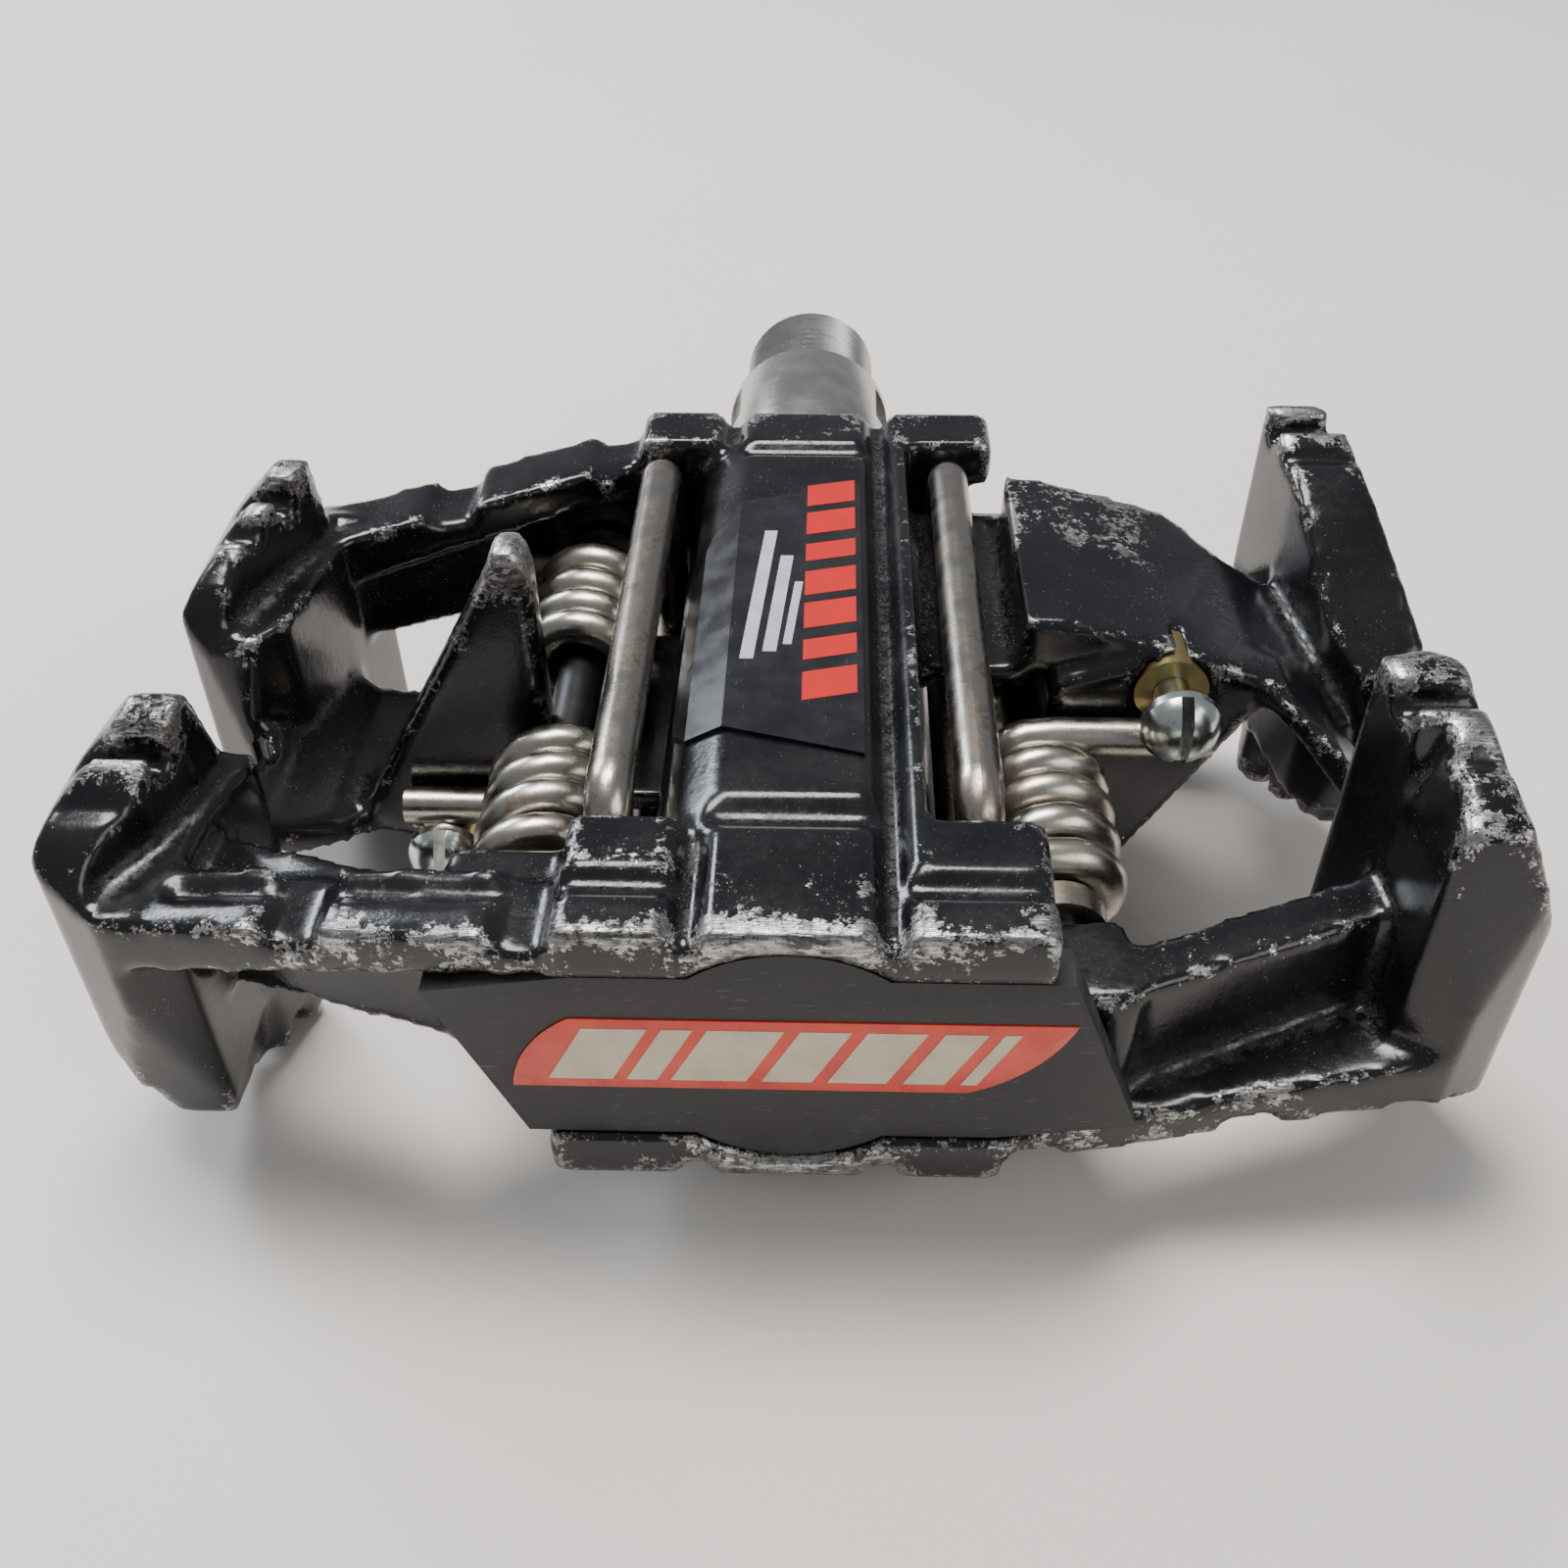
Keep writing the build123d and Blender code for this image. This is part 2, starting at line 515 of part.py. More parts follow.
with BuildPart() as end_cap:
    with BuildSketch(Plane.XZ.offset(-recess)):
        with BuildLine():
            Polyline(
                (-tip, plate_low - 2.0), (-deck_short_side + 1, plate_low - loose_gap),
                (deck_long_side, plate_low - loose_gap), (tip - 6, plate_low - loose_gap),
                (tip, -plate_low + 2.0), (deck_short_side - 1, -plate_low + loose_gap),
                (-deck_long_side, -plate_low + loose_gap), (-tip + 6, -plate_low + loose_gap), close=True)
        make_face()
        Circle(cap_circle)
    extrude(amount=recess - cap_front)
    add(ring(bearing_outer / 2 - seat_gap, bearing_outer / 2 - 1.2, recess, bearing_out - 1.1))
    with BuildSketch(Plane.XZ.offset(-cap_front)):
        make_face(badge_outline(0.05).edges())
    extrude(amount=-badge_depth, mode=Mode.SUBTRACT)
    add(barrel(5.0, nut_out - 0.4, recess + 0.1), mode=Mode.SUBTRACT)
end_cap.part.label = "end_cap"

with BuildPart() as cap_badge:
    with BuildSketch(Plane.XZ.offset(-cap_front + 0.1)):
        make_face(badge_outline(0).edges())
    extrude(amount=-badge_depth - 0.1)
cap_badge.part.label = "cap_badge"

# ---- one cleat mechanism on each side -----------------------------------------
elbow = 0.6                      # short bend from the last turn into each leg
hook_gap = 0.1                   # spring end to the bail's leg
head_height = 2.6
bail_corner = 3.4                # bend radius of the hoop's centre line
screw_tip = fin_in + 0.8
bush_radius = screw_shank / 2 + 1.6


def coil_spring(first_turn, left_hand):
    """Torsion spring round the -X rod: a leg out to the adjuster and a hook in to the bail."""
    inner_leg = rod_offset - bar_offset - bar_radius - hook_gap - elbow
    outer_leg = (rest_reach if left_hand else leg_reach) - elbow
    last_leg = inner_leg if left_hand else outer_leg
    first_leg = outer_leg if left_hand else inner_leg
    with BuildPart(mode=Mode.PRIVATE) as coil:
        with BuildLine():
            turns = Helix(coil_pitch, coil_length, coil_mean_radius, lefthand=left_hand)
        with BuildSketch(Plane(origin=turns @ 0, z_dir=turns % 0)):
            Circle(wire_radius)
        sweep(is_frenet=True)
        for start, along, length in ((turns @ 0, -(turns % 0), first_leg), (turns @ 1, turns % 1, last_leg)):
            level = Vector(along.X, along.Y, 0).normalized()
            turn_end = start + (along + level).normalized() * elbow
            with BuildLine() as leg:
                TangentArc(start, turn_end, tangent=along)
                Line(turn_end, turn_end + level * length)
            with BuildSketch(Plane(origin=start, z_dir=along)):
                Circle(wire_radius)
            sweep(path=leg.wires()[0])
    return Location((-rod_offset, first_turn, 0), (-90, 0, 0)) * coil.part.rotate(Axis.Z, 90)


def bail():
    """Closed hoop with a cleat bar on each face and an eye round the rod at each end."""
    with BuildPart(mode=Mode.PRIVATE) as hoop:
        with BuildLine(Plane.YZ.offset(-bar_offset)) as loop:
            Polyline(
                (bail_in, bar_height), (bail_in, -bar_height), (bail_out, -bar_height),
                (bail_out, bar_height), close=True)
            fillet(loop.vertices(), radius=bail_corner)
        path = loop.wires()[0]
        with BuildSketch(Plane(origin=path @ 0, z_dir=path % 0)):
            Circle(bar_radius)
        sweep(path=path)
        for y in (bail_out, bail_in):
            with BuildSketch(Plane.XZ.offset(-y - eye_thickness / 2)):
                with Locations((-rod_offset, 0)):
                    Circle(rod_radius + 1.7)
                with Locations(((-rod_offset - bar_offset) / 2, 0)):
                    Rectangle(rod_offset - bar_offset, 3.0)
                with Locations((-rod_offset, 0)):
                    Circle(rod_radius + running_gap, mode=Mode.SUBTRACT)
            extrude(amount=eye_thickness)
    return hoop.part


def adjuster_screw():
    """Slotted dome-headed screw that faces outboard."""
    head_y = fin_out - 0.6 - wire_diameter - loose_gap
    with BuildPart(mode=Mode.PRIVATE) as screw:
        with BuildSketch(Plane.XY):
            with BuildLine():
                Line((0, screw_tip), (screw_shank / 2 - 0.3, screw_tip))
                Line((screw_shank / 2 - 0.3, screw_tip), (screw_shank / 2, screw_tip - 0.3))
                Line((screw_shank / 2, screw_tip - 0.3), (screw_shank / 2, head_y))
                Line((screw_shank / 2, head_y), (screw_head_radius, head_y))
                Line((screw_head_radius, head_y), (screw_head_radius, head_y - 0.8))
                ThreePointArc(
                    (screw_head_radius, head_y - 0.8),
                    (screw_head_radius * 0.72, head_y - 0.3 - head_height * 0.72),
                    (0, head_y - 0.3 - head_height))
                Line((0, head_y - 0.3 - head_height), (0, screw_tip))
            make_face()
        revolve(axis=Axis.Y)
        add(block(-0.5, 0.5, head_y - 5, head_y - 0.8, -screw_head_radius, screw_head_radius),
            mode=Mode.SUBTRACT)
    return Pos(-screw_offset, 0, -screw_height) * screw.part


for name, turn in mechanisms:
    with BuildPart() as pivot_rod:
        add(barrel(rod_radius, recess + 0.1, face_in - 2.1, -rod_offset).rotate(Axis.Y, turn))
    pivot_rod.part.label = name + "_pivot_rod"
    export_step(pivot_rod.part, "parts/" + name + "_pivot_rod.step")

    with BuildPart() as cleat_bail:
        add(bail().rotate(Axis.Y, turn))
    cleat_bail.part.label = name + "_bail"
    export_step(cleat_bail.part, "parts/" + name + "_bail.step")

    for place, first_turn, left_hand in (
            ("outboard", outboard_coil - coil_length, False), ("inboard", inboard_coil - coil_length, True)):
        with BuildPart() as spring:
            add(coil_spring(first_turn, left_hand).rotate(Axis.Y, turn))
        spring.part.label = name + "_spring_" + place
        export_step(spring.part, "parts/" + name + "_spring_" + place + ".step")
        print(spring.part.label, len(spring.part.solids()), spring.part.is_valid)

    with BuildPart() as adjuster_bush:
        add(ring(bush_radius - seat_gap, screw_shank / 2 + running_gap, fin_out - 0.1, fin_in + 0.6,
                 -screw_offset, -screw_height).rotate(Axis.Y, turn))
    adjuster_bush.part.label = name + "_adjuster_bush"
    export_step(adjuster_bush.part, "parts/" + name + "_adjuster_bush.step")

    with BuildPart() as adjuster:
        add(adjuster_screw().rotate(Axis.Y, turn))
    adjuster.part.label = name + "_adjuster_screw"
    export_step(adjuster.part, "parts/" + name + "_adjuster_screw.step")

# ---- labels stuck on the rounded shoulders ------------------------------------
label_side = ridge_half_width - 0.3
for name, turn in (("top_label", 0), ("bottom_label", 180)):
    top = deck_half_height
    skin = label_thickness
    plan = [(label_side, middle + 21.5), (-ridge_half_width, middle + 18.0), (-7.9, middle + 14.0),
            (-band_edge + 0.1, middle + 7.5), (-band_edge, middle - 12.0), (-8.4, middle - 14.5),
            (-ridge_half_width, middle - 14.5), (label_side, middle - 17.5)]
    layer = [(label_side + 1, top), (-ridge_half_width, top), (-8.2, top - 1.5), (-band_edge, top - 3.4),
             (-band_edge - 0.8 * skin, top - 3.4 + 0.6 * skin), (-8.2 - 0.7 * skin, top - 1.5 + 0.8 * skin),
             (-ridge_half_width - 0.25 * skin, top + skin), (label_side + 1, top + skin)]
    with BuildPart() as label:
        add((prism_z(plan, 0, top + 1) & prism_y(layer, wall_out, wall_in)).rotate(Axis.Y, turn))
    label.part.label = name
    export_step(label.part, "parts/" + name + ".step")
    print(name, len(label.part.solids()), label.part.is_valid)

for piece in (spindle, inboard_seal, needle_shell, needle_rollers, needle_cage, bearing_outer_race,
              bearing_inner_race, bearing_balls, bearing_cage, bearing_shields, bearing_clip, axle_washer,
              axle_nut, end_cap, cap_badge):
    export_step(piece.part, "parts/" + piece.part.label + ".step")
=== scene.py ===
"""Looks of a worn double-sided clipless pedal, built round its CAD frame.

Everything is in metres, in the frame of the CAD parts: +Y runs along the spindle
into the crank, X is the direction of travel and Z is up. The cage is the same
after half a turn about Y, so wear is marked on both faces from one list.
"""
import json
from math import cos, pi, radians, sin

import bmesh
import bpy
import numpy as np
from mathutils import Matrix, Vector


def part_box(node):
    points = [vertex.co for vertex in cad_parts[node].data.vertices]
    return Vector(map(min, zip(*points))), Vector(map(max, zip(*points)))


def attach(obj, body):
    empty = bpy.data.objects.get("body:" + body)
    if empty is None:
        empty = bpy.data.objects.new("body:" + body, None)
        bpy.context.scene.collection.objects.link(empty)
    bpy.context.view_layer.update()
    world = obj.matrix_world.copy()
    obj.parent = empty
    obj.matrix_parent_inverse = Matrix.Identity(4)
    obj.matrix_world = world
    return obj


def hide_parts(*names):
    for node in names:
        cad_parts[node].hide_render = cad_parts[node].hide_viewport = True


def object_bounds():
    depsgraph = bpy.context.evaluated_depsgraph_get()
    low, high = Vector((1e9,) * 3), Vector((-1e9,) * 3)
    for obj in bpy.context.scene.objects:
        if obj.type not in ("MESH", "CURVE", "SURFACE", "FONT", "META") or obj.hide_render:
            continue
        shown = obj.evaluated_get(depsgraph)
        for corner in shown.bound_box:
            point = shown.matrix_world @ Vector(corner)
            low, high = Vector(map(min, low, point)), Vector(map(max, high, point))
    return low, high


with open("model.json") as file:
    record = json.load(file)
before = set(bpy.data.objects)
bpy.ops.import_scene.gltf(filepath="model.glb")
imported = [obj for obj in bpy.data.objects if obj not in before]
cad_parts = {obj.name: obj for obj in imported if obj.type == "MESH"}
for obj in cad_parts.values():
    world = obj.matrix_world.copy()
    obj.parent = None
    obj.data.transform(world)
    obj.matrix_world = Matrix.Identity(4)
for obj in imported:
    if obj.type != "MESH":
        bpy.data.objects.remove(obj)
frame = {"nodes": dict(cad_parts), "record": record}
cad_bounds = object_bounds()
nodes = frame["nodes"]
scene = bpy.context.scene
MM = 0.001


# ---- small helpers ------------------------------------------------------------
def deselect():
    bpy.ops.object.select_all(action="DESELECT")


def make_active(piece):
    deselect()
    piece.select_set(True)
    bpy.context.view_layer.objects.active = piece


def edit(piece, select="SELECT"):
    """Opens a piece in edit mode with all or nothing selected."""
    make_active(piece)
    bpy.ops.object.mode_set(mode="EDIT")
    bpy.ops.mesh.select_all(action=select)


def done():
    bpy.ops.object.mode_set(mode="OBJECT")


def apply(piece, kind, **settings):
    """Adds a modifier with these settings and applies it."""
    make_active(piece)
    modifier = piece.modifiers.new(kind.title(), kind)
    for key, value in settings.items():
        setattr(modifier, key, value)
    bpy.ops.object.modifier_apply(modifier=modifier.name)


def smooth(piece, angle=40):
    make_active(piece)
    bpy.ops.object.shade_smooth_by_angle(angle=radians(angle))


def settle(piece):
    """Puts the piece's place and turn into its mesh."""
    make_active(piece)
    bpy.ops.object.transform_apply(location=True, rotation=True, scale=True)


def name_piece(piece, name, body, slot, material, *stands_for):
    """Names a finished piece and ties it to its CAD body."""
    settle(piece)
    piece.name = name
    piece.data.name = name
    piece.data.materials.clear()
    piece.data.materials.append(material)
    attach(piece, body)
    if stands_for:
        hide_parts(*stands_for)
    return piece


def cad_copy(node):
    """A merged copy of a CAD node's mesh, for shaping further."""
    piece = bpy.data.objects.new(node + "_copy", nodes[node].data.copy())
    scene.collection.objects.link(piece)
    edit(piece)
    bpy.ops.mesh.remove_doubles(threshold=1e-6)
    bpy.ops.mesh.normals_make_consistent(inside=False)
    bpy.ops.mesh.tris_convert_to_quads()
    done()
    return piece


# ---- material helpers ---------------------------------------------------------
class Shader:
    """Short ways to add and join nodes. Patterns are measured in millimetres."""

    def __init__(self, name):
        self.material = bpy.data.materials.new(name)
        self.material.use_nodes = True
        self.tree = self.material.node_tree
        self.bsdf = self.tree.nodes["Principled BSDF"]
        coordinates = self.tree.nodes.new("ShaderNodeTexCoord")
        self.place = self.mapping(coordinates.outputs["Object"], (1 / MM,) * 3)

    def node(self, kind, **inputs):
        made = self.tree.nodes.new("ShaderNode" + kind)
        for key, value in inputs.items():
            self.put(made.inputs[key.replace("_", " ")], value)
        return made

    def put(self, socket, value):
        if isinstance(value, bpy.types.NodeSocket):
            self.tree.links.new(value, socket)
        else:
            socket.default_value = value

    def mapping(self, vector, scale, turn=(0, 0, 0)):
        made = self.node("Mapping", Vector=vector, Scale=scale, Rotation=[radians(a) for a in turn])
        return made.outputs["Vector"]

    def noise(self, scale, detail=4.0, rough=0.55, stretch=None, turn=(0, 0, 0), distort=0.0):
        """Noise whose features are about 1 / scale millimetres."""
        vector = self.mapping(self.place, stretch, turn) if stretch else self.place
        made = self.node("TexNoise", Vector=vector, Scale=scale, Detail=detail, Roughness=rough,
                         Distortion=distort)
        return made.outputs["Fac"]

    def sum(self, *terms):
        """Adds (value, factor) pairs and plain numbers."""
        total = None
        for term in terms:
            value, factor = term if isinstance(term, tuple) else (term, 1.0)
            step = self.tree.nodes.new("ShaderNodeMath")
            step.operation = "MULTIPLY_ADD"
            self.put(step.inputs[0], value)
            step.inputs[1].default_value = factor
            self.put(step.inputs[2], 0.0 if total is None else total)
            total = step.outputs[0]
        return total

    def times(self, a, b):
        step = self.tree.nodes.new("ShaderNodeMath")
        step.operation = "MULTIPLY"
        self.put(step.inputs[0], a)
        self.put(step.inputs[1], b)
        return step.outputs[0]

    def ramp(self, value, low, high, to_low=0.0, to_high=1.0):
        made = self.tree.nodes.new("ShaderNodeMapRange")
        made.interpolation_type = "SMOOTHSTEP"
        self.put(made.inputs["Value"], value)
        made.inputs["From Min"].default_value = low
        made.inputs["From Max"].default_value = high
        made.inputs["To Min"].default_value = to_low
        made.inputs["To Max"].default_value = to_high
        return made.outputs["Result"]

    def mix(self, amount, a, b):
        """Blends two colours or two numbers."""
        made = self.tree.nodes.new("ShaderNodeMix")
        colours = any(isinstance(v, (tuple, list)) or getattr(v, "type", "") == "RGBA" for v in (a, b))
        made.data_type = "RGBA" if colours else "FLOAT"
        first, second, out = (6, 7, 2) if colours else (2, 3, 0)
        self.put(made.inputs[0], amount)
        self.put(made.inputs[first], a)
        self.put(made.inputs[second], b)
        return made.outputs[out]

    def attribute(self, name):
        made = self.tree.nodes.new("ShaderNodeAttribute")
        made.attribute_name = name
        return made.outputs["Fac"]

    def bump(self, height, depth, strength=1.0):
        """Raises the surface by height, where 1 stands for depth in millimetres."""
        made = self.tree.nodes.new("ShaderNodeBump")
        made.inputs["Strength"].default_value = strength
        made.inputs["Distance"].default_value = depth * MM
        self.put(made.inputs["Height"], height)
        return made.outputs["Normal"]

    def finish(self, **inputs):
        for key, value in inputs.items():
            self.put(self.bsdf.inputs[key.replace("_", " ")], value)
        return self.material


def bare_alloy(s):
    """Colour, roughness and scratch height of alloy where the paint has gone."""
    blotch = s.noise(0.45, 6, 0.65)
    scratch = s.noise(1.4, 3, 0.6, stretch=(0.5, 6, 2), turn=(0, 0, 28))
    colour = s.mix(s.ramp(blotch, 0.36, 0.62), (0.085, 0.083, 0.080, 1), (0.33, 0.325, 0.315, 1))
    colour = s.mix(s.ramp(scratch, 0.50, 0.62, 0.0, 0.85), colour, (0.58, 0.575, 0.56, 1))
    colour = s.mix(s.ramp(s.noise(3.2, 3, 0.6), 0.58, 0.64, 0.0, 0.8), colour, (0.03, 0.03, 0.031, 1))
    rough = s.ramp(blotch, 0.3, 0.7, 0.42, 0.22)
    return colour, rough, scratch


def cage_paint():
    """Semi-gloss black over cast alloy, chipped bright along edges and rubbed patches."""
    s = Shader("cage_paint")
    wear = s.attribute("wear")
    hollow = s.attribute("hollow")
    coarse = s.noise(0.28, 5, 0.6)
    ragged = s.noise(1.3, 6, 0.7)
    flecks = s.noise(4.5, 3, 0.6)
    level = s.sum((wear, 1.0), (coarse, 0.9), (ragged, 1.1), (flecks, 0.35), -1.20)
    bare = s.ramp(level, 0.37, 0.45)
    metal, metal_rough, scratch = bare_alloy(s)
    tone = s.noise(0.12, 3, 0.5)
    paint = s.mix(s.ramp(tone, 0.3, 0.7), (0.0032, 0.0036, 0.0045, 1), (0.0072, 0.0076, 0.0088, 1))
    dust = s.ramp(s.sum((s.noise(5.5, 2, 0.5), 1.0), (coarse, 0.25), (hollow, 0.10)), 0.82, 0.89)
    paint = s.mix(s.times(dust, 0.5), paint, (0.28, 0.27, 0.25, 1))
    grime = s.times(s.ramp(hollow, 0.15, 0.8), s.ramp(ragged, 0.4, 0.65))
    paint = s.mix(s.times(grime, 0.3), paint, (0.045, 0.040, 0.034, 1))
    paint_rough = s.ramp(s.sum((ragged, 0.5), (tone, 0.5)), 0.3, 0.7, 0.13, 0.28)
    paint_rough = s.mix(grime, paint_rough, 0.7)
    height = s.sum((s.noise(1.1, 3, 0.5), 0.35), (s.noise(3.2, 2, 0.5), 0.22), (bare, -0.9),
                   (s.times(scratch, bare), 0.8))
    return s.finish(
        Base_Color=s.mix(bare, paint, metal), Metallic=s.times(bare, 0.92),
        Roughness=s.mix(bare, paint_rough, metal_rough), Normal=s.bump(height, 0.09, 0.55),
        Coat_Weight=0.0)


def cap_plastic():
    """Matt black moulded plastic with fine pale scratches."""
    s = Shader("cap_plastic")
    scuff = s.noise(0.5, 5, 0.65)
    hair = s.noise(0.9, 2, 0.5, stretch=(0.6, 1, 9), turn=(0, 24, 0), distort=0.4)
    lines = s.times(s.ramp(hair, 0.66, 0.71), s.ramp(scuff, 0.45, 0.6))
    specks = s.ramp(s.noise(5.0, 2, 0.5), 0.72, 0.78)
    colour = s.mix(s.ramp(scuff, 0.35, 0.7), (0.013, 0.013, 0.014, 1), (0.027, 0.027, 0.028, 1))
    colour = s.mix(s.times(lines, 0.5), colour, (0.22, 0.22, 0.22, 1))
    colour = s.mix(s.times(specks, 0.4), colour, (0.28, 0.27, 0.25, 1))
    height = s.sum((s.noise(2.5, 3, 0.6), 0.4), (lines, -0.5))
    return s.finish(Base_Color=colour, Roughness=s.ramp(scuff, 0.3, 0.7, 0.48, 0.62),
                    Normal=s.bump(height, 0.05, 0.5))


def worn_steel(name, clean, stain, stain_share, rough, along=(1, 1, 1)):
    """Bare steel with brown stains in its pits, and hair scratches."""
    s = Shader(name)
    cloud = s.noise(0.32, 5, 0.6)
    pits = s.noise(2.6, 5, 0.7)
    hair = s.noise(1.5, 2, 0.5, stretch=along)
    stained = s.ramp(s.sum((cloud, 0.9), (pits, 0.5)), 0.95 - 0.4 * stain_share, 1.10 - 0.4 * stain_share)
    colour = s.mix(s.times(stained, 0.75), clean, stain)
    dots = s.ramp(pits, 0.64, 0.70)
    colour = s.mix(s.times(dots, 0.7), colour, (0.10, 0.075, 0.05, 1))
    height = s.sum((hair, 0.5), (pits, 0.35))
    return s.finish(
        Base_Color=colour, Metallic=1.0, Normal=s.bump(height, 0.035, 0.5),
        Roughness=s.mix(stained, s.ramp(cloud, 0.3, 0.7, rough, rough + 0.10), rough + 0.16))


def turned_steel():
    """Machined spindle: fine rings round its axis."""
    s = Shader("spindle_steel")
    rings = s.noise(1.6, 3, 0.6, stretch=(0.05, 2.2, 0.05))
    cloud = s.noise(0.25, 4, 0.6)
    colour = s.mix(s.ramp(cloud, 0.35, 0.65), (0.50, 0.49, 0.48, 1), (0.57, 0.56, 0.54, 1))
    colour = s.mix(s.ramp(s.noise(2.0, 4, 0.7), 0.66, 0.76, 0.0, 0.35), colour, (0.17, 0.15, 0.12, 1))
    return s.finish(Base_Color=colour, Metallic=1.0, Roughness=s.ramp(cloud, 0.3, 0.7, 0.24, 0.30),
                    Normal=s.bump(rings, 0.03, 0.6))


def plated(name, colour, dark, rough):
    """Plated or polished metal with light clouding and a few dark spots."""
    s = Shader(name)
    cloud = s.noise(0.6, 4, 0.6)
    spots = s.ramp(s.noise(2.8, 4, 0.65), 0.62, 0.70)
    shade = s.mix(s.ramp(cloud, 0.35, 0.65), colour, [c * 0.8 for c in colour[:3]] + [1])
    shade = s.mix(s.times(spots, 0.7), shade, dark)
    return s.finish(Base_Color=shade, Metallic=1.0, Roughness=s.ramp(cloud, 0.3, 0.7, rough, rough + 0.12),
                    Normal=s.bump(s.noise(3.0, 3, 0.6), 0.02, 0.5))


def rubber():
    s = Shader("seal_rubber")
    cloud = s.noise(0.9, 4, 0.6)
    colour = s.mix(s.ramp(cloud, 0.35, 0.7), (0.012, 0.012, 0.013, 1), (0.035, 0.034, 0.032, 1))
    return s.finish(Base_Color=colour, Roughness=s.ramp(cloud, 0.3, 0.7, 0.5, 0.7),
                    Normal=s.bump(s.noise(3.0, 2, 0.5), 0.02, 0.5))


def coated_print(name, base, second, rough):
    """Printed film or resin under a clear coat, a little dusty and scratched."""
    s = Shader(name)
    cloud = s.noise(0.35, 4, 0.6)
    hair = s.noise(0.8, 2, 0.5, stretch=(7, 0.6, 3), turn=(0, 0, 20), distort=0.3)
    lines = s.ramp(hair, 0.70, 0.74)
    dust = s.ramp(s.noise(4.5, 2, 0.5), 0.74, 0.80)
    colour = s.mix(s.ramp(cloud, 0.3, 0.7), base, second)
    colour = s.mix(s.times(dust, 0.35), colour, (0.45, 0.43, 0.40, 1))
    height = s.sum((s.noise(0.7, 2, 0.5), 0.4), (lines, -0.3))
    roughness = s.mix(lines, s.ramp(cloud, 0.3, 0.7, rough, rough + 0.12), 0.6)
    return s.finish(Base_Color=colour, Roughness=roughness, Normal=s.bump(height, 0.03, 0.4),
                    Coat_Weight=0.35, Coat_Roughness=0.12)


paint = cage_paint()
plastic = cap_plastic()
bar_steel = worn_steel("bar_steel", (0.40, 0.37, 0.33, 1), (0.17, 0.13, 0.09, 1), 0.62, 0.22, (4, 0.4, 4))
spring_steel = worn_steel("spring_steel", (0.45, 0.42, 0.37, 1), (0.24, 0.185, 0.12, 1), 0.46, 0.24)
black_steel = worn_steel("black_steel", (0.05, 0.05, 0.052, 1), (0.10, 0.075, 0.05, 1), 0.3, 0.35)
bearing_steel = worn_steel("bearing_steel", (0.60, 0.60, 0.61, 1), (0.4, 0.38, 0.34, 1), 0.1, 0.16)
spindle_steel = turned_steel()
zinc = plated("zinc_steel", (0.66, 0.70, 0.68, 1), (0.12, 0.12, 0.11, 1), 0.16)
bush_brass = plated("bush_brass", (0.42, 0.34, 0.16, 1), (0.12, 0.09, 0.05, 1), 0.28)
cage_brass = plated("cage_brass", (0.72, 0.55, 0.25, 1), (0.2, 0.13, 0.06, 1), 0.25)
seal = rubber()
film = coated_print("label_film", (0.006, 0.006, 0.007, 1), (0.012, 0.012, 0.014, 1), 0.14)
red_ink = coated_print("red_ink", (0.56, 0.012, 0.010, 1), (0.46, 0.008, 0.007, 1), 0.25)
pale_ink = coated_print("pale_ink", (0.46, 0.49, 0.53, 1), (0.36, 0.39, 0.43, 1), 0.25)
badge_red = coated_print("badge_red", (0.70, 0.045, 0.012, 1), (0.58, 0.022, 0.008, 1), 0.20)
badge_cream = coated_print("badge_cream", (0.60, 0.52, 0.40, 1), (0.50, 0.42, 0.30, 1), 0.24)

finishes = {
    "cage_paint": paint, "cap_plastic": plastic, "badge_lens": badge_red, "label_film": film,
    "seal_rubber": seal, "bearing_steel": bearing_steel, "cage_brass": cage_brass,
    "spring_steel": spring_steel, "bar_steel": bar_steel, "black_steel": black_steel,
    "zinc_steel": zinc, "bush_brass": bush_brass, "spindle_steel": spindle_steel}
for part in frame["record"]["subparts"]:
    mesh = nodes[part["node"]].data
    mesh.materials.clear()
    mesh.materials.append(finishes[part["material_slot"]])


# ---- the cast cage ------------------------------------------------------------
# Places that rub against shoes and rocks: centre, radii and strength, in millimetres.
RUBBED = (
    ((0, -94.5, 12.5), (19, 1.8, 2.5), 0.46), ((0, -90, 13.2), (17, 3.2, 1.5), 0.22),
    ((0, -26.5, 13.2), (18, 4, 1.5), 0.22), ((26, -43, 12), (8, 8, 4), 0.42),
    ((-12, -87, 13), (5, 4, 2), 0.20), ((46, -36, 19), (6, 8, 3), 0.22),
    ((49, -80, 18), (6, 10, 4), 0.30), ((56, -84, 0), (4, 6, 9), 0.26),
    ((-48, -80, 16), (8, 10, 4), 0.24), ((-46, -44, 16), (6, 9, 4), 0.22),
    ((-24, -59.5, 19), (4, 3, 3.5), 0.50), ((-33, -94, 9.5), (18, 3.0, 3), 0.26),
    ((-52, -88, -12), (6, 5, 8), 0.12), ((31, -92, -10), (18, 3, 3), 0.14))
VOXEL = 0.63 * MM
SOFTENING_ROUNDS = 9             # how wide a patch each point is compared with
OTHER_FACE_SHARE = 0.85          # the lower face is rubbed a little less
EDGE_WEAR = 0.55
MOST_EDGE_WEAR = 0.62
HOLLOW_DIRT = 1.2


